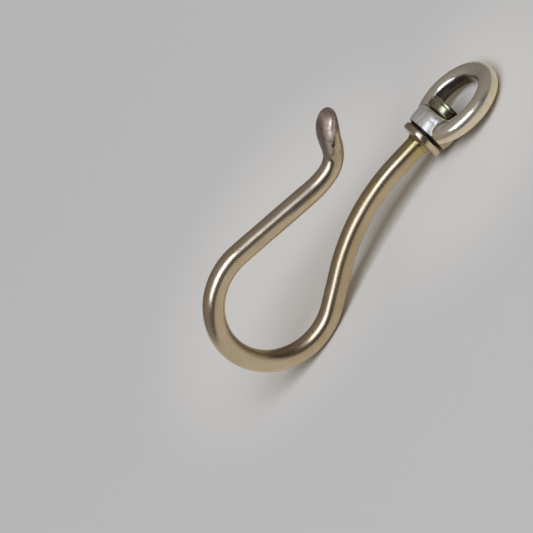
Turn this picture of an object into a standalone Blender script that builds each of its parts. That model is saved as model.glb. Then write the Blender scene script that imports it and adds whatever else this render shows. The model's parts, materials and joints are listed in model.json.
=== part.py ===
"""Swivel meat hook: a bent round rod with a blunt, flattened point, turning in a ring eye.

Every piece is modelled in the shank frame: +X runs along the swivel axis from the hook to the crown
of the eye, +Z points to the side where the point limb lies, and Y is across the hook. X = 0 is the
shank shoulder, where the collar ends and the eye begins. One parent empty then pitches the whole
assembly to the attitude in which it stands on a level surface, with its origin on the spot inside
the crown that hangs on a rail.
"""

import math

import bmesh
import bpy
from mathutils import Matrix, Vector

# Lengths are in metres and angles in degrees.
GAP = 0.0003
RUNNING_CLEARANCE = 0.00015

# Hook rod. The centreline starts at the shank shoulder and heads away from the eye. Positive turns
# lean it down, away from the point limb; the bend then carries it up and over. The limb eases into
# the elbow, which turns the point up again, and the head of the point curls a little the other way.
ROD_RADIUS = 0.0030
ROD_SIDES = 24
SHANK_LENGTH = 0.0109
SHOULDER_RADIUS = 0.0543
SHOULDER_TURN = 100 / 3
FLANK_LENGTH = 0.0104
BEND_RADIUS = 0.01705
BEND_TURN = -220.0
LIMB_LENGTH = 0.0254
EASE_RADIUS = 0.0235
EASE_TURN = 16.0
ELBOW_RADIUS = 0.0078
ELBOW_TURN = 56.0
POINT_STRAIGHT = 0.0028
CURL_RADIUS = 0.0117
CURL_TURN = -40.0

# Section of the rod towards its tip. Lengths are measured back from the tip: the rod narrows to its
# neck, swells into the head of the point, broader across the hook than it is deep, and ends in a
# blunt dome.
TAPER_START = 0.030
NECK_RADIUS = 0.00276
NECK_START = 0.0165
NECK_END = 0.0146
POINT_HALF_DEPTH = 0.00285
POINT_HALF_BREADTH = 0.0052
POINT_SWELL_END = 0.0088
DOME_LENGTH = 0.0078
DOME_POWER = 2.2
DOME_RINGS = 9

# Journal and peened head: the turned-down end of the rod, which holds the eye and the rove.
JOURNAL_RADIUS = 0.0020
PEEN_RADIUS = 0.0029
PEEN_HEIGHT = 0.0005
PEEN_RINGS = 4

# Collar brazed round the end of the shank.
COLLAR_RADIUS = 0.0060
COLLAR_RIM = 0.0021
COLLAR_COVE = 0.00115
COLLAR_LIP = 0.00025
COLLAR_ROUND = 0.0007
COLLAR_CHAMFER = 0.00055

# Boss of the eye, on the swivel axis.
BOSS_BASE_RADIUS = 0.00605
BOSS_BULGE_RADIUS = 0.00645
BOSS_START = 0.00045
BOSS_END = 0.0064
BOSS_SHOULDER = 0.0019
BOSS_EDGE = 0.0004

# Ring of the eye, which runs through the boss.
RING_CENTRE = 0.0122
RING_RADIUS = 0.0107
RING_WIRE_RADIUS = 0.00265
RING_STATIONS = 48
RING_SIDES = 20

# Rove: the thick washer that the journal is riveted over. A groove sets off a narrow lip on its
# crown side.
ROVE_RADIUS = 0.00575
ROVE_THICKNESS = 0.0032
ROVE_ROUND = 0.0008
ROVE_GROOVE = 0.0009
ROVE_GROOVE_WIDTH = 0.0003
ROVE_GROOVE_DEPTH = 0.0003
ROVE_LIP_RADIUS = 0.0056
ROVE_LIP_ROUND = 0.0003

TURNED_SIDES = 32
CORNER_STEPS = 3
ROVE_START = BOSS_END + GAP
ROVE_END = ROVE_START + ROVE_THICKNESS
PEEN_START = ROVE_END + GAP


def clear_scene():
    for old in list(bpy.data.objects):
        bpy.data.objects.remove(old, do_unlink=True)


def metal(name, colour, roughness):
    """A bare metal finish in one colour."""
    material = bpy.data.materials.new(name)
    material.use_nodes = True
    shader = material.node_tree.nodes["Principled BSDF"]
    shader.inputs["Base Color"].default_value = (*colour, 1.0)
    shader.inputs["Roughness"].default_value = roughness
    shader.inputs["Metallic"].default_value = 1.0
    material.diffuse_color = (*colour, 1.0)
    return material


def finish_mesh(name, mesh_builder, parent, material):
    """Turns a bmesh into a named, smooth-shaded object under the parent empty."""
    bmesh.ops.recalc_face_normals(mesh_builder, faces=mesh_builder.faces[:])
    mesh = bpy.data.meshes.new(name)
    mesh_builder.to_mesh(mesh)
    mesh_builder.free()
    mesh.shade_smooth()
    mesh.set_sharp_from_angle(angle=math.radians(35))
    mesh.materials.append(material)
    piece = bpy.data.objects.new(name, mesh)
    bpy.context.scene.collection.objects.link(piece)
    piece.parent = parent
    return piece


def corner(centre_x, centre_r, radius, start, end):
    """Points of a round corner in a turned profile, from one angle to another."""
    points = []
    for step in range(CORNER_STEPS + 1):
        angle = math.radians(start + (end - start) * step / CORNER_STEPS)
        points.append((centre_x + radius * math.cos(angle), centre_r + radius * math.sin(angle)))
    return points


def turned(profile):
    """Spins a closed profile of (x, radius) points about the swivel axis."""
    builder = bmesh.new()
    verts = [builder.verts.new((x, 0.0, radius)) for x, radius in profile]
    edges = [builder.edges.new(pair) for pair in zip(verts, verts[1:] + verts[:1])]
    bmesh.ops.spin(
        builder,
        geom=verts + edges,
        cent=(0.0, 0.0, 0.0),
        axis=(1.0, 0.0, 0.0),
        angle=2 * math.pi,
        steps=TURNED_SIDES,
        use_merge=True,
    )
    bmesh.ops.remove_doubles(builder, verts=builder.verts[:], dist=1e-7)
    return builder


def station_matrix(x, z, heading, depth, breadth):
    """Places a unit circle square to a path in the XZ plane, as a section of two half sizes."""
    along = Vector((math.cos(heading), 0.0, math.sin(heading)))
    left = Vector((-math.sin(heading), 0.0, math.cos(heading)))
    across = along.cross(left)
    turn = Matrix((left, across, along)).transposed().to_4x4()
    return Matrix.Translation((x, 0.0, z)) @ turn @ Matrix.Diagonal((depth, breadth, 1.0, 1.0))


def swept(stations, sides, closed):
    """Extrudes a round section from station to station. A flat of the section faces each side."""
    builder = bmesh.new()
    half_side = Matrix.Rotation(math.pi / sides, 4, "Z")
    bmesh.ops.create_circle(builder, segments=sides, radius=1.0, matrix=stations[0] @ half_side)
    first = builder.edges[:]
    loop = first
    for before, after in zip(stations, stations[1:]):
        grown = bmesh.ops.extrude_edge_only(builder, edges=loop)["geom"]
        verts = [item for item in grown if isinstance(item, bmesh.types.BMVert)]
        bmesh.ops.transform(builder, matrix=after @ before.inverted(), verts=verts)
        ring = set(verts)
        loop = [edge for edge in builder.edges if edge.verts[0] in ring and edge.verts[1] in ring]
    if closed:
        bmesh.ops.bridge_loops(builder, edges=first + loop)
    else:
        bmesh.ops.edgeloop_fill(builder, edges=first)
        bmesh.ops.edgeloop_fill(builder, edges=loop)
    return builder


def straight(length):
    return (length, 0.0)


def arc(radius, turn):
    return (radius * math.radians(abs(turn)), math.radians(turn))


HOOK_RUNS = (
    straight(SHANK_LENGTH),
    arc(SHOULDER_RADIUS, SHOULDER_TURN),
    straight(FLANK_LENGTH),
    arc(BEND_RADIUS, BEND_TURN),
    straight(LIMB_LENGTH),
    arc(EASE_RADIUS, EASE_TURN),
    arc(ELBOW_RADIUS, ELBOW_TURN),
    straight(POINT_STRAIGHT),
    arc(CURL_RADIUS, CURL_TURN),
)
RUN_STEPS = (1, 7, 1, 33, 4, 3, 9, 3, 0)


def place_at(distance):
    """Position and heading on the rod's centreline at a distance from the shank shoulder."""
    x, z, heading = 0.0, 0.0, math.pi
    for length, turn in HOOK_RUNS:
        share = min(distance / length, 1.0)
        chord = length * share
        if turn:
            chord = 2 * length / abs(turn) * math.sin(abs(turn) * share / 2)
        x += chord * math.cos(heading + turn * share / 2)
        z += chord * math.sin(heading + turn * share / 2)
        heading += turn * share
        distance -= length * share
        if distance <= 0.0:
            break
    return x, z, heading


def smooth_share(value):
    """Eases from 0 to 1 as the value goes from 0 to 1."""
    share = min(max(value, 0.0), 1.0)
    return share * share * (3 - 2 * share)


def section_at(to_tip):
    """Half depth and half breadth of the rod at a distance back from its tip."""
    narrowing = smooth_share((TAPER_START - to_tip) / (TAPER_START - NECK_START))
    swelling = smooth_share((NECK_END - to_tip) / (NECK_END - POINT_SWELL_END))
    into_dome = max(1 - to_tip / DOME_LENGTH, 0.0)
    closing = (1 - into_dome**DOME_POWER) ** (1 / DOME_POWER)
    radius = ROD_RADIUS + (NECK_RADIUS - ROD_RADIUS) * narrowing
    depth = radius + (POINT_HALF_DEPTH - NECK_RADIUS) * swelling
    breadth = radius + (POINT_HALF_BREADTH - NECK_RADIUS) * swelling
    return depth * closing, breadth * closing


def hook_stations():
    """Section stations of the bent rod from the shank shoulder to the tip."""
    total = sum(length for length, turn in HOOK_RUNS)
    distances = [0.0]
    for (length, turn), steps in zip(HOOK_RUNS, RUN_STEPS):
        start = distances[-1]
        distances += [start + length * (step + 1) / steps for step in range(steps)]
    for ring in range(DOME_RINGS):
        share = math.sin(math.pi / 2 * ring / (DOME_RINGS - 0.4))
        distances.append(total - DOME_LENGTH * (1 - share))
    return [station_matrix(*place_at(spot), *section_at(total - spot)) for spot in distances]


def journal_stations():
    """Section stations of the peened head and the journal, from the crown side to the shoulder."""
    sections = []
    for ring in range(PEEN_RINGS + 1):
        angle = math.pi / 2 * (ring + 0.8) / (PEEN_RINGS + 0.8)
        sections.append((PEEN_START + PEEN_HEIGHT * math.cos(angle), PEEN_RADIUS * math.sin(angle)))
    sections.append((PEEN_START, JOURNAL_RADIUS))
    sections.append((0.0, JOURNAL_RADIUS))
    return [station_matrix(x, 0.0, math.pi, radius, radius) for x, radius in sections]


def build_hook_rod(parent):
    builder = swept(journal_stations() + hook_stations(), ROD_SIDES, closed=False)
    return finish_mesh("hook_rod", builder, parent, metal("hook_metal", (0.52, 0.45, 0.36), 0.22))


def build_shank_collar(parent):
    """Collar ring whose hook side flares down to the rod in a cove."""
    bore = ROD_RADIUS + GAP
    flare = bore + COLLAR_LIP
    face = -COLLAR_RIM
    profile = [(0.0, bore), (face - COLLAR_COVE, bore)]
    profile += corner(face - COLLAR_COVE, flare + COLLAR_COVE, COLLAR_COVE, -90, 0)
    profile += corner(face + COLLAR_ROUND, COLLAR_RADIUS - COLLAR_ROUND, COLLAR_ROUND, 180, 90)
    profile += [(-COLLAR_CHAMFER, COLLAR_RADIUS), (0.0, COLLAR_RADIUS - COLLAR_CHAMFER)]
    finish = metal("collar_metal", (0.56, 0.47, 0.34), 0.25)
    return finish_mesh("shank_collar", turned(profile), parent, finish)


def boss_profile():
    """Barrel-shaped outside of the boss, closed along the swivel axis side by its bore."""
    bore = JOURNAL_RADIUS + RUNNING_CLEARANCE
    profile = [(BOSS_END, bore), (BOSS_START, bore)]
    profile += corner(BOSS_START + BOSS_EDGE, BOSS_BASE_RADIUS - BOSS_EDGE, BOSS_EDGE, 180, 100)
    widest = (BOSS_START + BOSS_END - BOSS_SHOULDER) / 2
    profile.append((widest, BOSS_BULGE_RADIUS))
    profile += corner(BOSS_END - BOSS_SHOULDER, BOSS_BULGE_RADIUS - BOSS_SHOULDER, BOSS_SHOULDER, 85, 0)
    return profile


def ring_stations():
    """Stations round the ring, centred on the middle of a facet at the crown."""
    stations = []
    for index in range(RING_STATIONS):
        angle = 2 * math.pi * (index + 0.5) / RING_STATIONS
        outward = Vector((math.cos(angle), math.sin(angle), 0.0))
        centre = Vector((RING_CENTRE, 0.0, 0.0)) + RING_RADIUS * outward
        along = Vector((-math.sin(angle), math.cos(angle), 0.0))
        across = along.cross(outward)
        turn = Matrix((outward, across, along)).transposed().to_4x4()
        size = Matrix.Diagonal((RING_WIRE_RADIUS, RING_WIRE_RADIUS, 1.0, 1.0))
        stations.append(Matrix.Translation(centre) @ turn @ size)
    return stations


def add_boolean(piece, operation, other):
    """Joins or cuts a piece with another object, which is then only a guide."""
    modifier = piece.modifiers.new(operation.title(), "BOOLEAN")
    modifier.operation = operation
    modifier.solver = "EXACT"
    modifier.object = other
    other.hide_render = True
    other.display_type = "WIRE"


def bore_drill():
    """Cylinder that clears the ring's wire from round the boss's bore."""
    builder = bmesh.new()
    radius = JOURNAL_RADIUS + GAP
    bmesh.ops.create_cone(
        builder,
        cap_ends=True,
        segments=TURNED_SIDES,
        radius1=radius,
        radius2=radius,
        depth=2 * (BOSS_END - GAP),
        matrix=Matrix.Rotation(math.pi / 2, 4, "Y"),
    )
    return builder


def face_trimmer():
    """Block that trims the ring's wire back to just inside the boss's collar side."""
    builder = bmesh.new()
    width = 2 * RING_RADIUS
    near_face = BOSS_START + BOSS_EDGE / 4
    bmesh.ops.create_cube(builder, size=width)
    bmesh.ops.translate(builder, vec=(near_face - width / 2, 0.0, 0.0), verts=builder.verts[:])
    return builder


def build_swivel_eye(parent):
    """Ring joined to its boss, trimmed level with the boss's collar side and bored for the journal."""
    finish = metal("eye_metal", (0.58, 0.54, 0.47), 0.25)
    ring = finish_mesh("swivel_eye", swept(ring_stations(), RING_SIDES, closed=True), parent, finish)
    boss = finish_mesh("boss_guide", turned(boss_profile()), parent, finish)
    drill = finish_mesh("bore_guide", bore_drill(), parent, finish)
    trim = finish_mesh("trim_guide", face_trimmer(), parent, finish)
    add_boolean(ring, "DIFFERENCE", trim)
    add_boolean(ring, "DIFFERENCE", drill)
    add_boolean(ring, "UNION", boss)
    return ring


def build_rove(parent):
    """Thick washer with a rounded rim and a grooved-off lip on its crown side."""
    bore = JOURNAL_RADIUS + GAP
    groove = ROVE_END - ROVE_GROOVE
    lip = groove + ROVE_GROOVE_WIDTH
    profile = [(ROVE_END, bore), (ROVE_START, bore)]
    profile += corner(ROVE_START + ROVE_ROUND, ROVE_RADIUS - ROVE_ROUND, ROVE_ROUND, 180, 90)
    profile += [(groove - ROVE_GROOVE_WIDTH, ROVE_RADIUS), (groove, ROVE_RADIUS - ROVE_GROOVE_DEPTH)]
    profile.append((lip, ROVE_LIP_RADIUS))
    profile += corner(ROVE_END - ROVE_LIP_ROUND, ROVE_LIP_RADIUS - ROVE_LIP_ROUND, ROVE_LIP_ROUND, 90, 0)
    return finish_mesh("rove", turned(profile), parent, metal("rove_metal", (0.48, 0.42, 0.25), 0.3))


def facet_distance(radius, sides):
    """Distance from a regular section's centre to the middle of one of its sides."""
    return radius * math.cos(math.pi / sides)


def resting_pitch():
    """Angle that the swivel axis dips by when the heel of the bend and the crown stand level."""
    bend_start = sum(length for length, turn in HOOK_RUNS[:3])
    x, z, heading = place_at(bend_start)
    centre_x = x + BEND_RADIUS * math.sin(heading)
    centre_z = z - BEND_RADIUS * math.cos(heading)
    span = RING_CENTRE + RING_RADIUS - centre_x
    drop = BEND_RADIUS + ROD_RADIUS - RING_WIRE_RADIUS
    return math.asin(drop / math.hypot(span, centre_z)) - math.atan2(centre_z, span)


def assembly_frame():
    """Empty that stands the shank frame up, with the hanging spot inside the crown at the origin."""
    frame = bpy.data.objects.new("assembly_frame", None)
    bpy.context.scene.collection.objects.link(frame)
    wire = facet_distance(RING_WIRE_RADIUS, RING_SIDES)
    hanging_spot = RING_CENTRE + facet_distance(RING_RADIUS - wire, RING_STATIONS)
    pitch = resting_pitch()
    frame.rotation_euler = (0.0, pitch, 0.0)
    frame.location = (-hanging_spot * math.cos(pitch), 0.0, hanging_spot * math.sin(pitch))
    return frame


clear_scene()
assembly = assembly_frame()
build_hook_rod(assembly)
build_shank_collar(assembly)
build_swivel_eye(assembly)
build_rove(assembly)
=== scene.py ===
"""Swivel meat hook on a pale table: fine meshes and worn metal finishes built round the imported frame.

The four CAD solids stay in the simulation. Five finer meshes of the same size stand for them, since
the journal is a piece of its own here. All are modelled in the shank frame: +X runs along the swivel
axis towards the crown of the eye, +Z points to the side where the point limb lies, and X = 0 is the
shank shoulder, where the swivel joint sits.
"""

import json
import math

import bmesh
import bpy
import numpy as np
from mathutils import Matrix, Vector


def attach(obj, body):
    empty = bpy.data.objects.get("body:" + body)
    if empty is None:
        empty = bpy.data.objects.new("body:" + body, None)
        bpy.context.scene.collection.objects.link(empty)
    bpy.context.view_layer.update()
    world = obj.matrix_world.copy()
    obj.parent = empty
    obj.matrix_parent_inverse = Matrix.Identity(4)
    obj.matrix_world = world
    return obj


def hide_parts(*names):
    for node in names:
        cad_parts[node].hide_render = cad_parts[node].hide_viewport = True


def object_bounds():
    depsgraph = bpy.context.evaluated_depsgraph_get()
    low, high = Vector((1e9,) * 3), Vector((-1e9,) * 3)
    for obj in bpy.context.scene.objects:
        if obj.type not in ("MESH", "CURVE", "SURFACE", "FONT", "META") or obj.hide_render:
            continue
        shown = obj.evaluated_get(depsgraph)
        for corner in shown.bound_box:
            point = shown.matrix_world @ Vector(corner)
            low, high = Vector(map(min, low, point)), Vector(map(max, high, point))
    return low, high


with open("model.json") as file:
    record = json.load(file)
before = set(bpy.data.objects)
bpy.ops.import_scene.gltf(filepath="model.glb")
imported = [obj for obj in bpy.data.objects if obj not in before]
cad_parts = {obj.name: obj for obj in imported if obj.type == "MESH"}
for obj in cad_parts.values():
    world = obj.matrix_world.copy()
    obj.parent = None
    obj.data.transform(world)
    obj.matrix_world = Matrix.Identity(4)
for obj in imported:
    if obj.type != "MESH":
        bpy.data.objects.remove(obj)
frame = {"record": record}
cad_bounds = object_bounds()

# Lengths are in metres and angles in degrees, unless a name says otherwise.
# Bent rod: (length, turn) of each run of its centreline, from the shank shoulder to the tip.
ROD_RADIUS = 0.0030
ROD_SIDES = 96
ROD_STEP = 0.0001
ROD_RING_SPACING = 0.0004
EASE_WINDOW = 0.0024
BEND_RADIUS = 0.01705


def arc(radius, turn):
    return radius * math.radians(abs(turn)), turn


ROD_RUNS = (
    (0.0109, 0.0),
    arc(0.0543, 100 / 3),
    (0.0104, 0.0),
    arc(BEND_RADIUS, -220.0),
    (0.0254, 0.0),
    arc(0.0235, 16.0),
    arc(0.0078, 56.0),
    (0.0028, 0.0),
    arc(0.0117, -40.0),
)
ROD_LENGTH = sum(length for length, turn in ROD_RUNS)

# Section towards the tip, with lengths measured back from the tip: the rod narrows to its neck, then
# swells into the head of the point, which is broader across the hook than it is deep.
TAPER_START = 0.030
NECK_RADIUS = 0.00276
NECK_START = 0.0165
NECK_END = 0.0146
POINT_HALF_DEPTH = 0.00285
POINT_HALF_BREADTH = 0.0052
POINT_SWELL_END = 0.0088
DOME_LENGTH = 0.0078
DOME_POWER = 2.2
DOME_RINGS = 40

# Journal with its peened head.
JOURNAL_RADIUS = 0.0020
JOURNAL_ROOT = -0.0010
PEEN_RADIUS = 0.0029
PEEN_HEIGHT = 0.0005
PINHOLE_RADIUS = 0.00001

# Collar brazed on at the shank shoulder, and the braze that runs out from it over the rod.
COLLAR_RADIUS = 0.0060
COLLAR_RIM = 0.0021
COLLAR_COVE = 0.00115
COLLAR_LIP = 0.00012
COLLAR_ROUND = 0.0006
COLLAR_CHAMFER = 0.00055
COLLAR_CHAMFER_ROUND = 0.00015

# Eye: the boss on the swivel axis, and the ring that grows out of it.
BOSS_START = 0.00045
BOSS_END = 0.0064
BOSS_RADIUS = 0.00605
BOSS_BULGE = 0.0004
BOSS_EDGE = 0.0004
BOSS_SHOULDER = 0.0019
RING_CENTRE = 0.0122
RING_RADIUS = 0.0107
RING_WIRE_RADIUS = 0.00265
FILLET_REACH = 0.0008
CROWN_FILLET_REACH = 0.0034
FILLET_GROWTH = (0.0030, 0.0068)
BOSS_UNEVENNESS = 0.00005
BORE_CLEARANCE = 0.00015
SPIGOT_START = 0.00012
SPIGOT_RADIUS = 0.0053
EYE_VOXEL = 0.00022
BOSS_WAVES = ((1900.0, 700.0, -600.0), (500.0, -1300.0, 1100.0))
RING_BALLS = 96
BOSS_SIDES = 64
CUTTER_SIDES = 96
SMOOTHING_ROUNDS = 8
DRAWING_ROUNDS = 12
SLIVER = 3e-6
FIELD_STEP = 1e-6
LEAST_STEEPNESS = 0.2

# Rove, the thick washer under the peened head.
ROVE_START = 0.0067
ROVE_END = 0.0099
ROVE_RADIUS = 0.00575
ROVE_ROUND = 0.0008
ROVE_GROOVE = 0.0009
ROVE_GROOVE_WIDTH = 0.0003
ROVE_GROOVE_DEPTH = 0.0003
ROVE_LIP_RADIUS = 0.0056
ROVE_LIP_ROUND = 0.0003

TURNED_SIDES = 192
CORNER_STEPS = 10
SHARP_ANGLE = 40.0


# ---------------------------------------------------------------- shank frame


def shank_frame():
    """World matrix of the shank frame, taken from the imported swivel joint."""
    joint = frame["record"]["behaviour"]["joints"][0]
    along = Vector(joint["axis"]).normalized()
    across = Vector((0.0, 1.0, 0.0))
    upright = along.cross(across)
    turn = Matrix((along, across, upright)).transposed().to_4x4()
    return Matrix.Translation(joint["pos_m"]) @ turn


SHANK = shank_frame()


def place(name, mesh, body, node, slot, material):
    """Turns a shank-frame mesh into the world as a piece on a body, standing for a CAD node.

    Its origin is on the swivel axis. The "shank" attribute keeps each point's place in the shank
    frame, which the finishes work in.
    """
    points = np.zeros(len(mesh.vertices) * 3)
    mesh.vertices.foreach_get("co", points)
    mesh.attributes.new("shank", "FLOAT_VECTOR", "POINT").data.foreach_set("vector", points)
    mesh.transform(SHANK.to_3x3().to_4x4())
    piece = bpy.data.objects.new(name, mesh)
    bpy.context.scene.collection.objects.link(piece)
    piece.location = SHANK.to_translation()
    mesh.materials.clear()
    mesh.materials.append(material)
    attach(piece, body)
    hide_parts(node)
    return piece


# ---------------------------------------------------------------- bent rod


def smooth_share(value):
    """Eases from 0 to 1 as the values go from 0 to 1."""
    share = np.clip(value, 0.0, 1.0)
    return share * share * (3 - 2 * share)


def rod_centreline():
    """Distance, position and heading along the rod, with each change of bend eased in."""
    ends = np.cumsum([length for length, turn in ROD_RUNS])
    bends = np.array([math.radians(turn) / length for length, turn in ROD_RUNS])
    distance = np.arange(0.0, ROD_LENGTH, ROD_STEP)
    bend = bends[np.searchsorted(ends, distance + ROD_STEP / 2).clip(max=len(bends) - 1)]
    window = round(EASE_WINDOW / ROD_STEP)
    padded = np.pad(bend, (window // 2, window - 1 - window // 2), mode="edge")
    bend = np.convolve(padded, np.ones(window) / window, mode="valid")
    heading = math.pi + np.cumsum(bend) * ROD_STEP
    x = -ROD_STEP + np.cumsum(np.cos(heading)) * ROD_STEP
    z = np.cumsum(np.sin(heading)) * ROD_STEP
    return distance, x + ROD_STEP, z, heading


def rod_section(to_tip):
    """Half depth and half breadth of the rod at distances back from its tip."""
    narrowing = smooth_share((TAPER_START - to_tip) / (TAPER_START - NECK_START))
    swelling = smooth_share((NECK_END - to_tip) / (NECK_END - POINT_SWELL_END))
    into_dome = np.clip(1 - to_tip / DOME_LENGTH, 0.0, 1.0)
    closing = (1 - into_dome**DOME_POWER) ** (1 / DOME_POWER)
    radius = ROD_RADIUS + (NECK_RADIUS - ROD_RADIUS) * narrowing
    depth = radius + (POINT_HALF_DEPTH - NECK_RADIUS) * swelling
    breadth = radius + (POINT_HALF_BREADTH - NECK_RADIUS) * swelling
    return depth * closing, breadth * closing


def round_angles(sides):
    """Angles of the points in one ring, as a row."""
    return 2 * math.pi * np.arange(sides)[None, :] / sides


def tube_faces(rings, sides):
    """Quads between successive rings of vertices."""
    here = np.arange(rings - 1)[:, None] * sides + np.arange(sides)[None, :]
    across = np.arange(rings - 1)[:, None] * sides + (np.arange(sides)[None, :] + 1) % sides
    quads = np.stack([here, across, across + sides, here + sides], axis=-1)
    return quads.reshape(-1, 4).tolist()


def shade_round(mesh):
    """Shades a mesh smooth, apart from its sharp corners."""
    mesh.shade_smooth()
    mesh.set_sharp_from_angle(angle=math.radians(SHARP_ANGLE))


def mesh_from(name, points, faces):
    """Smooth-shaded mesh from point and face lists, with its normals facing out."""
    mesh = bpy.data.meshes.new(name)
    mesh.from_pydata(points, [], faces)
    builder = bmesh.new()
    builder.from_mesh(mesh)
    bmesh.ops.recalc_face_normals(builder, faces=builder.faces[:])
    builder.to_mesh(mesh)
    builder.free()
    shade_round(mesh)
    return mesh


def rod_ring_distances():
    """Distances of the rod's rings: even along it, then closing up to just short of the tip."""
    body = np.arange(0.0, ROD_LENGTH - DOME_LENGTH, ROD_RING_SPACING)
    share = np.sin(math.pi / 2 * np.arange(DOME_RINGS) / (DOME_RINGS - 0.3))
    return np.concatenate([body, ROD_LENGTH - DOME_LENGTH * (1 - share)])


def hand_worked(distance, angle):
    """Slight unevenness of a rod bent and filed by hand, as a share of its radius."""
    slow = np.sin(distance * 520 + np.cos(angle)) * np.cos(angle + distance * 90)
    quick = np.sin(distance * 1310 + 2 * angle) * np.sin(distance * 700 - angle)
    point = smooth_share((distance - ROD_LENGTH + NECK_START) / DOME_LENGTH)
    hammered = 0.006 * np.sin(3 * angle + distance * 900) + 0.003 * np.sin(2 * angle + distance * 2300)
    return 0.0025 * slow + 0.0012 * quick + point * hammered


def build_bent_rod():
    distance, x, z, heading = rod_centreline()
    rings = rod_ring_distances()
    ring_x = np.interp(rings, distance, x)[:, None]
    ring_z = np.interp(rings, distance, z)[:, None]
    turn = np.interp(rings, distance, heading)[:, None]
    angle = round_angles(ROD_SIDES)
    depth, breadth = rod_section(ROD_LENGTH - rings)
    uneven = 1 + hand_worked(rings[:, None], angle)
    out = depth[:, None] * uneven * np.cos(angle)
    side = breadth[:, None] * uneven * np.sin(angle)
    points = np.stack([ring_x - np.sin(turn) * out, side, ring_z + np.cos(turn) * out], axis=-1)
    straight = np.stack([np.broadcast_to(rings[:, None], out.shape), out, side], axis=-1)
    faces = tube_faces(len(rings), ROD_SIDES)
    last = (len(rings) - 1) * ROD_SIDES
    faces.append(list(range(ROD_SIDES)))
    faces.append(list(range(last, last + ROD_SIDES)))
    mesh = mesh_from("bent_rod", points.reshape(-1, 3).tolist(), faces)
    layer = mesh.attributes.new("straight", "FLOAT_VECTOR", "POINT")
    layer.data.foreach_set("vector", straight.reshape(-1, 3).ravel())
    return mesh


# ---------------------------------------------------------------- turned pieces


def corner(centre_x, centre_r, radius, start, end):
    """Points of a round corner in a turned profile, from one angle to another."""
    angles = np.radians(np.linspace(start, end, CORNER_STEPS + 1))
    return [(centre_x + radius * math.cos(t), centre_r + radius * math.sin(t)) for t in angles]


def turned(name, profile):
    """Closed profile of (x, radius) points spun about the swivel axis."""
    profile = np.array(profile)
    angle = round_angles(TURNED_SIDES)
    x = np.broadcast_to(profile[:, :1], (len(profile), TURNED_SIDES))
    radius = profile[:, 1:]
    points = np.stack([x, radius * np.cos(angle), radius * np.sin(angle)], axis=-1)
    faces = tube_faces(len(profile), TURNED_SIDES)
    last = (len(profile) - 1) * TURNED_SIDES
    for side in range(TURNED_SIDES):
        after = (side + 1) % TURNED_SIDES
        faces.append([last + side, last + after, after, side])
    return mesh_from(name, points.reshape(-1, 3).tolist(), faces)


def build_collar():
    """Collar ring, with the braze flaring from its hook side down on to the rod."""
    face = -COLLAR_RIM
    bore = ROD_RADIUS - COLLAR_LIP
    cove = face - COLLAR_COVE
    chamfer = COLLAR_CHAMFER - COLLAR_CHAMFER_ROUND
    profile = [(0.0, bore), (cove - COLLAR_LIP, bore)]
    profile += corner(cove, ROD_RADIUS + COLLAR_LIP + COLLAR_COVE, COLLAR_COVE, -90, 0)
    profile += corner(face + COLLAR_ROUND, COLLAR_RADIUS - COLLAR_ROUND, COLLAR_ROUND, 180, 90)
    rounding = COLLAR_CHAMFER_ROUND
    profile += corner(-COLLAR_CHAMFER, COLLAR_RADIUS - rounding, rounding, 80, 50)
    profile += corner(-rounding, COLLAR_RADIUS - chamfer, rounding, 45, 5)
    return turned("collar_ring", profile)


def build_rove():
    """Thick washer with a rounded rim and a grooved-off lip on its crown side."""
    groove = ROVE_END - ROVE_GROOVE
    lip_round = ROVE_LIP_ROUND
    profile = [(ROVE_END, JOURNAL_RADIUS), (ROVE_START, JOURNAL_RADIUS)]
    profile += corner(ROVE_START + ROVE_ROUND, ROVE_RADIUS - ROVE_ROUND, ROVE_ROUND, 180, 90)
    profile.append((groove - ROVE_GROOVE_WIDTH, ROVE_RADIUS))
    profile.append((groove, ROVE_RADIUS - ROVE_GROOVE_DEPTH))
    profile.append((groove + ROVE_GROOVE_WIDTH, ROVE_LIP_RADIUS))
    profile += corner(ROVE_END - lip_round, ROVE_LIP_RADIUS - lip_round, lip_round, 90, 0)
    return turned("rove_washer", profile)


def build_journal():
    """Journal from inside the shank to its peened head, with a pinhole along its axis."""
    profile = [(JOURNAL_ROOT, PINHOLE_RADIUS), (JOURNAL_ROOT, JOURNAL_RADIUS)]
    profile.append((ROVE_END, JOURNAL_RADIUS))
    angles = np.radians(np.linspace(0, 89, CORNER_STEPS))
    dome = [(ROVE_END + PEEN_HEIGHT * math.sin(t), PEEN_RADIUS * math.cos(t)) for t in angles]
    return turned("journal_pin", profile + dome)


# ---------------------------------------------------------------- eye


def boss_field(points):
    """Signed distance to the barrel-shaped boss."""
    middle = (BOSS_START + BOSS_END) / 2
    half = (BOSS_END - BOSS_START) / 2
    offset = points[:, 0] - middle
    barrel = BOSS_RADIUS + BOSS_BULGE * (1 - (offset / half) ** 2).clip(min=0.0)
    rounding = np.where(offset > 0, BOSS_SHOULDER, BOSS_EDGE)
    over_end = np.abs(offset) - half + rounding
    over_side = np.hypot(points[:, 1], points[:, 2]) - barrel + rounding
    outside = np.hypot(over_end.clip(min=0.0), over_side.clip(min=0.0))
    return outside + np.maximum(over_end, over_side).clip(max=0.0) - rounding


def ring_field(points):
    """Signed distance to the ring."""
    reach = np.hypot(points[:, 0] - RING_CENTRE, points[:, 1]) - RING_RADIUS
    return np.hypot(reach, points[:, 2]) - RING_WIRE_RADIUS


def face_field(points):
    """Signed distance to the plane that trims the boss on its collar side."""
    return BOSS_START - points[:, 0]


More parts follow.
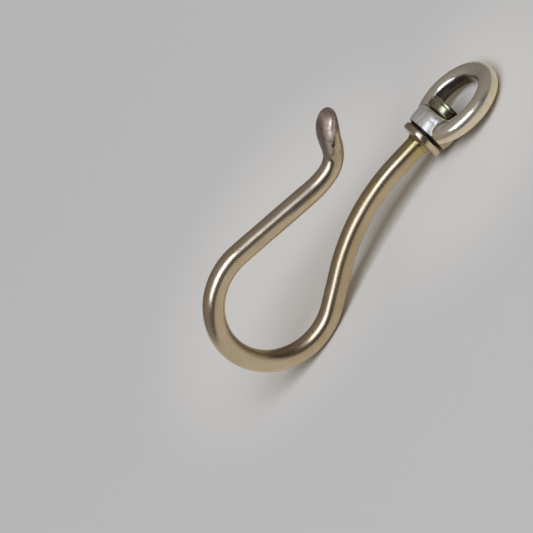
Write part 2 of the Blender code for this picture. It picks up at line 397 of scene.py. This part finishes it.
def eye_field(points):
    """Distance-like field of the ring and boss, blended most where they meet on the crown side."""
    boss = boss_field(points)
    ring = ring_field(points)
    low, high = FILLET_GROWTH
    grown = smooth_share((points[:, 0] - low) / (high - low))
    reach = FILLET_REACH + (CROWN_FILLET_REACH - FILLET_REACH) * grown
    overlap = (reach - np.abs(boss - ring)).clip(min=0.0) / reach
    blended = np.minimum(boss, ring) - overlap * overlap * reach / 4
    first_wave, second_wave = BOSS_WAVES
    wave = np.sin(points @ first_wave) * np.sin(points @ second_wave + 1.0)
    return np.maximum(blended + BOSS_UNEVENNESS * (1 - grown) * wave, face_field(points))


def field_slope(points):
    """Gradient of the eye's field, by central differences."""
    slope = []
    for axis in np.eye(3):
        ahead = eye_field(points + FIELD_STEP * axis)
        behind = eye_field(points - FIELD_STEP * axis)
        slope.append((ahead - behind) / (2 * FIELD_STEP))
    return np.stack(slope, axis=-1)


def add_cylinder(builder, radius, start, end, sides):
    """Adds a capped cylinder on the swivel axis, from one place on it to another."""
    middle = Matrix.Translation(((start + end) / 2, 0.0, 0.0))
    bmesh.ops.create_cone(
        builder,
        cap_ends=True,
        segments=sides,
        radius1=radius,
        radius2=radius,
        depth=end - start,
        matrix=middle @ Matrix.Rotation(math.pi / 2, 4, "Y"),
    )


def applied(mesh, kind, **settings):
    """Mesh with one modifier applied."""
    holder = bpy.data.objects.new("holder", mesh)
    bpy.context.scene.collection.objects.link(holder)
    modifier = holder.modifiers.new("step", kind)
    for key, value in settings.items():
        setattr(modifier, key, value)
    bpy.context.view_layer.update()
    evaluated = holder.evaluated_get(bpy.context.evaluated_depsgraph_get())
    result = bpy.data.meshes.new_from_object(evaluated)
    bpy.data.objects.remove(holder, do_unlink=True)
    return result


def rough_eye():
    """Ring and boss primitives, remeshed into one closed skin."""
    builder = bmesh.new()
    for index in range(RING_BALLS):
        angle = 2 * math.pi * index / RING_BALLS
        across = RING_RADIUS * math.sin(angle)
        along = RING_CENTRE + RING_RADIUS * math.cos(angle)
        if along > BOSS_START + RING_WIRE_RADIUS:
            spot = Matrix.Translation((along, across, 0.0))
            bmesh.ops.create_icosphere(builder, subdivisions=3, radius=RING_WIRE_RADIUS, matrix=spot)
    add_cylinder(builder, BOSS_RADIUS, BOSS_START, BOSS_END, BOSS_SIDES)
    mesh = bpy.data.meshes.new("eye_skin")
    builder.to_mesh(mesh)
    builder.free()
    return applied(mesh, "REMESH", mode="VOXEL", voxel_size=EYE_VOXEL)


def cutter(radius, start, end):
    """Object round the swivel axis, to join to a mesh or to cut it with."""
    builder = bmesh.new()
    add_cylinder(builder, radius, start, end, CUTTER_SIDES)
    mesh = bpy.data.meshes.new("cutter")
    builder.to_mesh(mesh)
    builder.free()
    shape = bpy.data.objects.new("cutter", mesh)
    bpy.context.scene.collection.objects.link(shape)
    return shape


def combined(mesh, operation, other):
    """Mesh joined with or cut by another object, which is used up."""
    result = applied(mesh, "BOOLEAN", operation=operation, solver="EXACT", object=other)
    bpy.data.objects.remove(other, do_unlink=True)
    return result


def merge_slivers(mesh):
    """Closes up the tiny edges that the cuts leave."""
    builder = bmesh.new()
    builder.from_mesh(mesh)
    bmesh.ops.remove_doubles(builder, verts=builder.verts[:], dist=SLIVER)
    bmesh.ops.dissolve_degenerate(builder, edges=builder.edges[:], dist=SLIVER)
    builder.to_mesh(mesh)
    builder.free()


def draw_on_to_field(mesh):
    """Evens out a rough skin and moves its points on to the surface of the eye's field."""
    points = np.zeros(len(mesh.vertices) * 3)
    mesh.vertices.foreach_get("co", points)
    points = points.reshape(-1, 3)
    edges = np.zeros(len(mesh.edges) * 2, dtype=np.int64)
    mesh.edges.foreach_get("vertices", edges)
    edges = edges.reshape(-1, 2)
    valence = np.bincount(edges.ravel(), minlength=len(points))[:, None]
    for round_number in range(DRAWING_ROUNDS):
        if round_number < SMOOTHING_ROUNDS:
            total = np.zeros_like(points)
            np.add.at(total, edges[:, 0], points[edges[:, 1]])
            np.add.at(total, edges[:, 1], points[edges[:, 0]])
            points = 0.5 * points + 0.5 * total / valence
        slope = field_slope(points)
        steepness = (slope**2).sum(axis=1)[:, None].clip(min=LEAST_STEEPNESS)
        points -= eye_field(points)[:, None] * slope / steepness
    mesh.vertices.foreach_set("co", points.ravel())
    mesh.update()


def build_eye():
    """Skin of the ring and boss, with a spigot towards the collar, bored for the journal."""
    mesh = rough_eye()
    draw_on_to_field(mesh)
    spigot = cutter(SPIGOT_RADIUS, SPIGOT_START, BOSS_START + BOSS_EDGE)
    drill = cutter(JOURNAL_RADIUS + BORE_CLEARANCE, -BOSS_END, 2 * BOSS_END)
    joined = combined(mesh, "UNION", spigot)
    bored = combined(joined, "DIFFERENCE", drill)
    merge_slivers(bored)
    shade_round(bored)
    return bored


# ---------------------------------------------------------------- materials

HAZE_ROUGHNESS = 0.5
# Depth of the relief of each finish, and the fineness of its specks.
ROD_RELIEF = 4e-6
COLLAR_RELIEF = 4e-6
EYE_RELIEF = 2.5e-6
ROVE_RELIEF = 6e-6
SPECK_SCALE = 2600.0
SPECK_SHARE = 0.6


def rgb(red, green, blue):
    return (red, green, blue, 1.0)


WHITE = rgb(1.0, 1.0, 1.0)
ROD_PLATE_BY_COLLAR = (rgb(0.64, 0.505, 0.31), rgb(0.60, 0.46, 0.26))
ROD_PLATE_BY_POINT = (rgb(0.76, 0.61, 0.40), rgb(0.71, 0.56, 0.35))
ROD_STREAK = rgb(0.45, 0.33, 0.24)
ROD_BRAZE = rgb(0.56, 0.43, 0.17)
# Darker colour on the inner side of the rod along the bend.
BEND_INNER_DARKENING = rgb(0.28, 0.20, 0.11)
# Painted shade: a dark band just under the highlight round the elbow.
ELBOW_PAINTED_SHADE = rgb(0.20, 0.14, 0.10)
NECK_DULLING = rgb(0.42, 0.34, 0.23)
PATINA = rgb(0.95, 0.77, 0.58)
PATINA_BLOTCH = rgb(0.36, 0.26, 0.19)
PATINA_PIT = rgb(0.12, 0.08, 0.07)
# Dark line low on the point's head, patchy along its length.
POINT_DARK_LINE = rgb(0.10, 0.07, 0.05)
# Painted shade on the underside of the point's head.
POINT_UNDERSIDE_SHADE = rgb(0.20, 0.16, 0.14)
# Painted shade along the upper edge of the point; the same colour also darkens the tip end.
POINT_EDGE = rgb(0.20, 0.14, 0.12)
COLLAR_PLATE = (rgb(0.74, 0.62, 0.44), rgb(0.66, 0.50, 0.30))
COLLAR_BRAZE = rgb(0.46, 0.36, 0.14)
# Painted shade on the collar's chamfer by the running gap to the boss.
COLLAR_GAP_SHADE = rgb(0.30, 0.21, 0.10)
EYE_PLATE = (rgb(0.84, 0.77, 0.61), rgb(0.79, 0.69, 0.49))
# Painted reflection: a warmer golden colour on the eye's low side, so that it mirrors the table more
# brightly.
EYE_PAINTED_TABLE_REFLECTION = rgb(0.92, 0.77, 0.53)
BOSS_PLATE = rgb(0.67, 0.64, 0.55)
# Painted shade: dark colour and grazing tint for the inside of the ring's wire, which mirrors the
# shaded table.
RING_INNER_PAINTED_SHADE = rgb(0.08, 0.065, 0.045)
RING_INNER_SHADE_EDGE_TINT = rgb(0.15, 0.12, 0.08)
# Painted shade in the crease where the ring leaves the boss, and low on the boss by the collar.
ROOT_PAINTED_SHADE = rgb(0.24, 0.20, 0.12)
# Painted shade in the running gap between the collar and the boss.
GAP_PAINTED_SHADE = rgb(0.03, 0.02, 0.015)
ROVE_BRASS = (rgb(0.58, 0.53, 0.32), rgb(0.36, 0.31, 0.16))
ROVE_LOW_DARKENING = rgb(0.13, 0.10, 0.06)


class Graph:
    """Node tree of a material, built one node at a time."""

    def __init__(self, tree):
        self.tree = tree
        self.tree.nodes.clear()

    def add(self, kind, inputs=(), **settings):
        node = self.tree.nodes.new(kind)
        for key, value in settings.items():
            setattr(node, key, value)
        for key, value in dict(inputs).items():
            if isinstance(value, bpy.types.NodeSocket):
                self.tree.links.new(value, node.inputs[key])
            else:
                node.inputs[key].default_value = value
        return node

    def attribute(self, name):
        return self.add("ShaderNodeAttribute", attribute_name=name).outputs["Vector"]

    def stretched(self, vector, scale):
        """Coordinates times a scale for each axis."""
        return self.add("ShaderNodeVectorMath", {0: vector, 1: scale}, operation="MULTIPLY").outputs[0]

    def noise(self, vector, scale, detail):
        inputs = {"Vector": vector, "Scale": scale, "Detail": detail}
        return self.add("ShaderNodeTexNoise", inputs).outputs["Fac"]

    def between(self, value, low, high, to_low=0.0, to_high=1.0):
        """Value eased from one range on to another."""
        ranges = {"From Min": low, "From Max": high, "To Min": to_low, "To Max": to_high}
        inputs = {"Value": value, **ranges}
        return self.add("ShaderNodeMapRange", inputs, interpolation_type="SMOOTHSTEP").outputs[0]

    def mixed(self, factor, first, second):
        """Colour part of the way from one to another, through the node's colour sockets."""
        inputs = {0: factor, 6: first, 7: second}
        return self.add("ShaderNodeMix", inputs, data_type="RGBA").outputs[2]

    def maths(self, operation, first, second=0.0):
        return self.add("ShaderNodeMath", {0: first, 1: second}, operation=operation).outputs[0]

    def product(self, share, *others):
        """Shares multiplied together."""
        for other in others:
            share = self.maths("MULTIPLY", share, other)
        return share

    def part(self, vector, axis):
        return self.add("ShaderNodeSeparateXYZ", {0: vector}).outputs[axis]


def new_material(name):
    material = bpy.data.materials.new(name)
    material.use_nodes = True
    return material, Graph(material.node_tree)


def finish_metal(graph, colour, roughness, height, relief, haze, haze_metallic=1.0, edge=WHITE):
    """Ends a metal material.

    It takes the colour, the roughness, the height and depth of the relief, the share that is hazy,
    how metallic the haze is, and the tint at grazing angles.
    """
    bump = graph.add("ShaderNodeBump", {"Strength": 1.0, "Distance": relief, "Height": height})
    inputs = {"Base Color": colour, "Specular Tint": edge, "Normal": bump.outputs[0]}
    clear_inputs = {**inputs, "Metallic": 1.0, "Roughness": roughness}
    clear = graph.add("ShaderNodeBsdfPrincipled", clear_inputs)
    hazy_inputs = {**inputs, "Metallic": haze_metallic, "Roughness": HAZE_ROUGHNESS}
    hazy = graph.add("ShaderNodeBsdfPrincipled", hazy_inputs)
    surface = graph.add("ShaderNodeMixShader", {0: haze, 1: clear.outputs[0], 2: hazy.outputs[0]})
    graph.add("ShaderNodeOutputMaterial", {"Surface": surface.outputs[0]})


def specked(graph, place, relief):
    """Relief with fine specks added to it."""
    specks = graph.noise(place, SPECK_SCALE, 2.0)
    return graph.maths("ADD", relief, graph.maths("MULTIPLY", specks, SPECK_SHARE))


def rod_plate(graph, place_on_rod, distance, streaks):
    """Plate of the rod: patchy, streaked along its length, and paler towards the point."""
    patchy = graph.between(graph.noise(place_on_rod, 160.0, 3.0), 0.38, 0.62)
    by_collar = graph.mixed(patchy, *ROD_PLATE_BY_COLLAR)
    by_point = graph.mixed(patchy, *ROD_PLATE_BY_POINT)
    colour = graph.mixed(graph.between(distance, 0.055, 0.075), by_collar, by_point)
    return graph.mixed(graph.between(streaks, 0.5, 0.8, 0.0, 0.3), colour, ROD_STREAK)


def rod_stains_and_painted_shade(graph, colour, distance, to_tip, out):
    """Gold by the braze, a darker inner side along the bend, painted shade as a dark band under the
    highlight at the elbow, and a duller neck.
    """
    # Darker on the inner side of the rod along the bend.
    inside = graph.between(out, -0.0009, -0.0021, 0.0, 0.85)
    into_bend = graph.between(distance, 0.060, 0.075)
    out_of_bend = graph.between(distance, 0.103, 0.092)
    colour = graph.mixed(graph.product(inside, into_bend, out_of_bend), colour, BEND_INNER_DARKENING)
    colour = graph.mixed(graph.between(distance, 0.0095, 0.0030), colour, ROD_BRAZE)
    # Painted shade: a dark band under the highlight, on the elbow only.
    off_band = graph.maths("ABSOLUTE", graph.maths("SUBTRACT", out, 0.0006))
    band = graph.between(off_band, 0.0007, 0.0002, 0.0, 0.75)
    into_elbow = graph.between(to_tip, 0.038, 0.030)
    out_of_elbow = graph.between(to_tip, 0.016, 0.020)
    colour = graph.mixed(graph.product(band, into_elbow, out_of_elbow), colour, ELBOW_PAINTED_SHADE)
    return graph.mixed(graph.between(to_tip, 0.019, 0.014, 0.0, 0.45), colour, NECK_DULLING)


def point_patina(graph, to_tip, out):
    """Where the point is worn: its start, the height over the dark line, and the share of patina.

    The patina starts farther from the tip on the outer side of the rod. It ends low on the point at
    a dark line, which runs down the flank towards the tip.
    """
    slanting = graph.maths("SUBTRACT", to_tip, graph.maths("MULTIPLY", out, 1.2))
    start = graph.between(slanting, 0.0120, 0.0080)
    line = graph.between(to_tip, 0.0100, 0.0040, 0.0013, -0.0005)
    over_line = graph.maths("SUBTRACT", out, line)
    past_line = graph.between(to_tip, 0.0050, 0.0035)
    skin = graph.maths("MAXIMUM", graph.between(over_line, -0.0002, 0.0002), past_line)
    return start, over_line, graph.product(start, skin)


def point_wear_and_painted_shade(graph, colour, place_on_rod, to_tip, out, patina):
    """Dull, blotched and pitted head, with a dark line, painted shade on its underside and upper edge,
    and a darker tip end.
    """
    start, over_line, point = patina
    colour = graph.mixed(graph.product(point, 0.85), colour, PATINA)
    blotches = graph.between(graph.noise(place_on_rod, 400.0, 3.0), 0.48, 0.62, 0.0, 0.6)
    colour = graph.mixed(graph.product(point, blotches), colour, PATINA_BLOTCH)
    pits = graph.between(graph.noise(place_on_rod, 1100.0, 1.0), 0.62, 0.72, 0.0, 0.6)
    colour = graph.mixed(graph.product(point, pits), colour, PATINA_PIT)
    line_patchiness = graph.between(graph.noise(place_on_rod, 900.0, 2.0), 0.40, 0.56, 0.35, 0.9)
    by_line = graph.between(graph.maths("ABSOLUTE", over_line), 0.0006, 0.0001)
    colour = graph.mixed(graph.product(line_patchiness, by_line, start), colour, POINT_DARK_LINE)
    # Painted shade on the underside of the head.
    head = graph.between(to_tip, 0.0060, 0.0040)
    below = graph.between(out, 0.0002, -0.0006, 0.0, 0.85)
    colour = graph.mixed(graph.product(head, below), colour, POINT_UNDERSIDE_SHADE)
    # Painted shade along the upper edge, and a darker tip end.
    above = graph.between(out, 0.0017, 0.0026, 0.0, 0.85)
    end = graph.between(to_tip, 0.0032, 0.0010, 0.0, 0.7)
    return graph.mixed(graph.maths("MAXIMUM", end, graph.product(start, above)), colour, POINT_EDGE)


def rod_metal():
    """Polished plate over brass, worn along its length, golden by the braze and dull at the point, with
    painted shade at the elbow and on the point's head.
    """
    material, graph = new_material("worn_plate_rod_painted_shade")
    place_on_rod = graph.attribute("straight")
    distance = graph.part(place_on_rod, 0)
    to_tip = graph.maths("SUBTRACT", ROD_LENGTH, distance)
    out = graph.part(place_on_rod, 1)
    streaks = graph.noise(graph.stretched(place_on_rod, (60.0, 1500.0, 1500.0)), 1.0, 4.0)
    patina = point_patina(graph, to_tip, out)
    point = patina[-1]
    colour = rod_plate(graph, place_on_rod, distance, streaks)
    colour = rod_stains_and_painted_shade(graph, colour, distance, to_tip, out)
    colour = point_wear_and_painted_shade(graph, colour, place_on_rod, to_tip, out, patina)
    roughness = graph.between(streaks, 0.3, 0.7, 0.21, 0.31)
    roughness = graph.maths("ADD", roughness, graph.product(point, 0.08))
    haze = graph.between(point, 0.0, 1.0, 0.09, 0.48)
    relief = specked(graph, place_on_rod, streaks)
    finish_metal(graph, colour, roughness, relief, ROD_RELIEF, haze, haze_metallic=0.6)
    return material


def collar_metal():
    """Worn plate on the collar's rim, gold braze in its cove, painted shade by the running gap."""
    material, graph = new_material("brazed_collar_painted_shade")
    spot = graph.attribute("shank")
    along = graph.part(spot, 0)
    patches = graph.noise(spot, 420.0, 3.0)
    colour = graph.mixed(graph.between(patches, 0.4, 0.6), *COLLAR_PLATE)
    braze = graph.between(along, -COLLAR_RIM + 0.0001, -COLLAR_RIM - 0.0005)
    colour = graph.mixed(braze, colour, COLLAR_BRAZE)
    # Painted shade on the chamfer next to the running gap.
    gap_shade = graph.between(along, -1.3 * COLLAR_CHAMFER, -COLLAR_CHAMFER / 2, 0.0, 0.7)
    colour = graph.mixed(gap_shade, colour, COLLAR_GAP_SHADE)
    roughness = graph.between(patches, 0.3, 0.7, 0.16, 0.30)
    specks = graph.noise(spot, SPECK_SCALE, 2.0)
    finish_metal(graph, colour, roughness, specks, COLLAR_RELIEF, 0.12)
    return material


def reach_from_ring_axis(graph, spot):
    """Distance from the ring's own axis."""
    centre = (RING_CENTRE, 0.0, 0.0)
    offset = graph.add("ShaderNodeVectorMath", {0: spot, 1: centre}, operation="SUBTRACT")
    level = graph.stretched(offset.outputs[0], (1.0, 1.0, 0.0))
    return graph.add("ShaderNodeVectorMath", {0: level}, operation="LENGTH").outputs["Value"]


def ring_inner_shade(graph, spot):
    """Share of painted shade on the side of the ring's wire that faces its own centre, where it mirrors
    the shaded table.
    """
    inner_edge = RING_RADIUS - RING_WIRE_RADIUS
    reach = reach_from_ring_axis(graph, spot)
    inside = graph.between(reach, inner_edge + 0.0026, inner_edge + 0.0017, 0.0, 0.92)
    height = graph.part(spot, 2)
    under_highlight = graph.between(height, 0.0018, 0.0014)
    over_edge = graph.between(height, -0.0027, -0.0025)
    along = graph.part(spot, 0)
    clear_of_crown = graph.between(along, RING_CENTRE + 0.0088, RING_CENTRE + 0.0068)
    return graph.product(inside, under_highlight, over_edge, clear_of_crown)


def root_painted_shade(graph, spot):
    """Share of painted shade on the boss: in the crease where the ring leaves it, and low down by the
    collar.
    """
    height = graph.part(spot, 2)
    off_ring = graph.maths("SUBTRACT", reach_from_ring_axis(graph, spot), RING_RADIUS)
    squares = graph.maths("ADD", graph.maths("POWER", off_ring, 2.0), graph.maths("POWER", height, 2.0))
    from_wire = graph.maths("SUBTRACT", graph.maths("SQRT", squares), RING_WIRE_RADIUS)
    off_wire = graph.between(from_wire, 0.00003, 0.00012)
    crease = graph.between(from_wire, 0.0009, 0.0002, 0.0, 0.8)
    low = graph.between(height, 0.0015, -0.0010, 0.0, 0.55)
    by_collar = graph.between(graph.part(spot, 0), 0.0040, 0.0020)
    return graph.product(graph.maths("MAXIMUM", crease, graph.product(low, by_collar)), off_wire)


def eye_metal():
    """Silvery plate, hazy with fine scratches, with a painted reflection of the table on its low side
    and painted shade inside the ring, in the crease and low on the boss by the collar, and in the
    running gap.
    """
    material, graph = new_material("worn_plate_eye_painted_shade")
    spot = graph.attribute("shank")
    along = graph.part(spot, 0)
    height = graph.part(spot, 2)
    patches = graph.noise(spot, 260.0, 3.0)
    colour = graph.mixed(graph.between(patches, 0.38, 0.62), *EYE_PLATE)
    # Painted reflection of the table on the eye's low side.
    colour = graph.mixed(graph.between(height, 0.0004, -0.0010), colour, EYE_PAINTED_TABLE_REFLECTION)
    # Painted shade inside the ring's wire: both its colour and its grazing tint are darkened.
    inner_shade = ring_inner_shade(graph, spot)
    colour = graph.mixed(inner_shade, colour, RING_INNER_PAINTED_SHADE)
    edge = graph.mixed(inner_shade, WHITE, RING_INNER_SHADE_EDGE_TINT)
    before_crown_end = graph.between(along, BOSS_END + 0.0004, BOSS_END - 0.0004)
    on_boss = graph.product(before_crown_end, graph.between(height, 0.0018, 0.0034))
    colour = graph.mixed(on_boss, colour, BOSS_PLATE)
    # Painted shade in the crease by the ring and low on the boss by the collar.
    colour = graph.mixed(root_painted_shade(graph, spot), colour, ROOT_PAINTED_SHADE)
    # Painted shade at the boss's edge in the running gap.
    in_gap = graph.between(along, BOSS_START + 0.0003, BOSS_START + 0.0001)
    colour = graph.mixed(in_gap, colour, GAP_PAINTED_SHADE)
    scratches = graph.noise(graph.stretched(spot, (300.0, 1800.0, 500.0)), 1.0, 3.0)
    scratched = graph.product(on_boss, scratches)
    roughness = graph.between(patches, 0.3, 0.7, 0.15, 0.24)
    haze = graph.between(patches, 0.35, 0.65, 0.20, 0.32)
    haze = graph.maths("ADD", haze, graph.between(scratched, 0.2, 0.65, 0.0, 0.55))
    relief = specked(graph, spot, scratched)
    finish_metal(graph, colour, roughness, relief, EYE_RELIEF, haze, haze_metallic=0.45, edge=edge)
    return material


def rove_metal():
    """Dull greenish brass, darker towards the bottom."""
    material, graph = new_material("green_brass")
    spot = graph.attribute("shank")
    patches = graph.noise(spot, 500.0, 3.0)
    colour = graph.mixed(graph.between(patches, 0.35, 0.65), *ROVE_BRASS)
    # Darker towards the bottom of the rove.
    low_down = graph.between(graph.part(spot, 2), 0.0036, 0.0016, 0.0, 0.85)
    colour = graph.mixed(low_down, colour, ROVE_LOW_DARKENING)
    roughness = graph.between(patches, 0.3, 0.7, 0.20, 0.32)
    specks = graph.noise(spot, SPECK_SCALE, 2.0)
    finish_metal(graph, colour, roughness, specks, ROVE_RELIEF, 0.1)
    return material


# ---------------------------------------------------------------- pieces

rove_finish = rove_metal()
place("bent_rod", build_bent_rod(), "hook", "hook_rod", "hook_metal", rod_metal())
place("collar_ring", build_collar(), "hook", "shank_collar", "collar_metal", collar_metal())
place("swivel_ring", build_eye(), "eye", "swivel_eye", "eye_metal", eye_metal())
place("rove_washer", build_rove(), "hook", "rove", "rove_metal", rove_finish)
place("journal_pin", build_journal(), "hook", "hook_rod", "hook_metal", rove_finish)


# ---------------------------------------------------------------- table, lights and camera

VIEW_AZIMUTH = 4.3
VIEW_ELEVATION = 28.2
VIEW_ROLL = 60.0
VIEW_DISTANCE = 2.0
VIEW_SPAN = 0.1406
VIEW_SHIFT = (-0.01849, -0.01765)
SENSOR_WIDTH_MM = 36.0
TABLE_SIZE = 6.0
TABLE_COLOUR = rgb(0.600, 0.593, 0.572)
# Patches of table that the metal throws light on: (centre, radius), from the point under the object.
PALE_PATCHES = (((-0.022, 0.038, 0.0), 0.050), ((0.030, -0.005, 0.0), 0.040))
PALE_PATCH_BLUR = 0.020
PALE_PATCH_COLOUR = rgb(0.70, 0.680, 0.630)
# The window's panes stand side by side, from its left end.
WINDOW_ELEVATION = 56.0
WINDOW_DISTANCE = 6.0
WINDOW_LEFT_END = -4.87
PANE_STEP = 2.33
PANE_SIZE = (2.17, 3.07)
PANE_RADIANCE = (2.6, 3.0, 3.0, 0.5)
PANE_COLOUR = (0.80, 0.93, 1.25)
FILL_SIZE = (6.7, 3.0)
FILL_RADIANCE = 2.6
FILL_COLOUR = (1.0, 0.97, 0.90)
ROOM_IN_FRONT = rgb(0.030, 0.022, 0.026)
ROOM_OVERHEAD = rgb(0.20, 0.19, 0.205)
ROOM_BEHIND = rgb(0.14, 0.125, 0.13)
ROOM_LIGHT = rgb(0.27, 0.24, 0.19)
ROOM_BACKDROP = rgb(0.48, 0.48, 0.475)


def direction(azimuth, elevation):
    """Unit vector from the object to a place at an azimuth from the front and an elevation."""
    turn = math.radians(azimuth)
    rise = math.radians(elevation)
    level = math.cos(rise)
    return Vector((math.sin(turn) * level, -math.cos(turn) * level, math.sin(rise)))


def object_centre():
    low, high = cad_bounds
    return (Vector(low) + Vector(high)) / 2


def pale_patch(graph, spot, centre, radius):
    """Share of a soft-edged round patch on the table."""
    offset = graph.add("ShaderNodeVectorMath", {0: spot, 1: centre}, operation="DISTANCE")
    return graph.between(offset.outputs["Value"], radius + PALE_PATCH_BLUR, radius - PALE_PATCH_BLUR)


def table_finish():
    """Plain pale grey table top, a little paler round the object."""
    material, graph = new_material("pale_table")
    spot = graph.add("ShaderNodeTexCoord").outputs["Object"]
    shares = [pale_patch(graph, spot, centre, radius) for centre, radius in PALE_PATCHES]
    colour = graph.mixed(graph.maths("MAXIMUM", *shares), TABLE_COLOUR, PALE_PATCH_COLOUR)
    inputs = {"Base Color": colour, "Roughness": 0.55, "Specular IOR Level": 0.25}
    shader = graph.add("ShaderNodeBsdfPrincipled", inputs)
    graph.add("ShaderNodeOutputMaterial", {"Surface": shader.outputs[0]})
    return material


def add_table():
    builder = bmesh.new()
    bmesh.ops.create_grid(builder, x_segments=1, y_segments=1, size=TABLE_SIZE / 2)
    mesh = bpy.data.meshes.new("table_top")
    builder.to_mesh(mesh)
    builder.free()
    mesh.materials.append(table_finish())
    table = bpy.data.objects.new("table_top", mesh)
    bpy.context.scene.collection.objects.link(table)
    centre = object_centre()
    table.location = (centre.x, centre.y, cad_bounds[0][2])


def add_softbox(name, place_at, facing, size, radiance, colour):
    """Rectangular light of a given brightness as it is seen."""
    data = bpy.data.lights.new(name, "AREA")
    data.shape = "RECTANGLE"
    data.size, data.size_y = size
    data.energy = radiance * math.pi * size[0] * size[1]
    data.color = colour
    light = bpy.data.objects.new(name, data)
    bpy.context.scene.collection.objects.link(light)
    light.location = place_at
    light.rotation_euler = facing
    light.visible_camera = False
    return light


def add_lights():
    """Window of four panes that the metal mirrors, and a softer fill over it that it doesn't."""
    centre = object_centre()
    outward = direction(0, WINDOW_ELEVATION)
    facing = outward.to_track_quat("Z", "Y").to_euler()
    for index, radiance in enumerate(PANE_RADIANCE):
        along = WINDOW_LEFT_END + PANE_STEP * (index + 0.5)
        spot = centre + outward * WINDOW_DISTANCE + Vector((along, 0.0, 0.0))
        add_softbox("window_pane", spot, facing, PANE_SIZE, radiance, PANE_COLOUR)
    middle = centre + outward * WINDOW_DISTANCE
    fill = add_softbox("fill", middle, facing, FILL_SIZE, FILL_RADIANCE, FILL_COLOUR)
    fill.visible_glossy = False


def add_surroundings():
    """Room beyond the table: pale to the camera, dim and purplish in reflections."""
    world = bpy.data.worlds.new("room")
    bpy.context.scene.world = world
    world.use_nodes = True
    graph = Graph(world.node_tree)
    ray = graph.add("ShaderNodeLightPath")
    facing = graph.add("ShaderNodeTexCoord").outputs["Generated"]
    depth = graph.part(facing, 1)
    room = graph.mixed(graph.between(depth, -0.7, 0.1), ROOM_IN_FRONT, ROOM_OVERHEAD)
    room = graph.mixed(graph.between(depth, 0.3, 0.95), room, ROOM_BEHIND)
    colour = graph.mixed(ray.outputs["Is Diffuse Ray"], room, ROOM_LIGHT)
    colour = graph.mixed(ray.outputs["Is Camera Ray"], colour, ROOM_BACKDROP)
    background = graph.add("ShaderNodeBackground", {"Color": colour, "Strength": 1.0})
    graph.add("ShaderNodeOutputWorld", {"Surface": background.outputs[0]})


def add_camera():
    """Long lens from the front, rolled so that the shank runs up to the right."""
    away = direction(VIEW_AZIMUTH, VIEW_ELEVATION)
    azimuth = math.radians(VIEW_AZIMUTH)
    level = Vector((math.cos(azimuth), math.sin(azimuth), 0.0))
    upright = away.cross(level)
    roll = math.radians(VIEW_ROLL)
    right = math.cos(roll) * level - math.sin(roll) * upright
    top = math.sin(roll) * level + math.cos(roll) * upright
    data = bpy.data.cameras.new("camera")
    data.sensor_width = SENSOR_WIDTH_MM
    data.lens = SENSOR_WIDTH_MM * VIEW_DISTANCE / VIEW_SPAN
    data.clip_end = 2 * TABLE_SIZE
    camera = bpy.data.objects.new("camera", data)
    bpy.context.scene.collection.objects.link(camera)
    aim = object_centre() + VIEW_SHIFT[0] * right + VIEW_SHIFT[1] * top
    turn = Matrix((right, top, away)).transposed().to_4x4()
    camera.matrix_world = Matrix.Translation(aim + VIEW_DISTANCE * away) @ turn
    bpy.context.scene.camera = camera


add_table()
add_lights()
add_surroundings()
add_camera()
bpy.context.scene.view_settings.view_transform = "Standard"
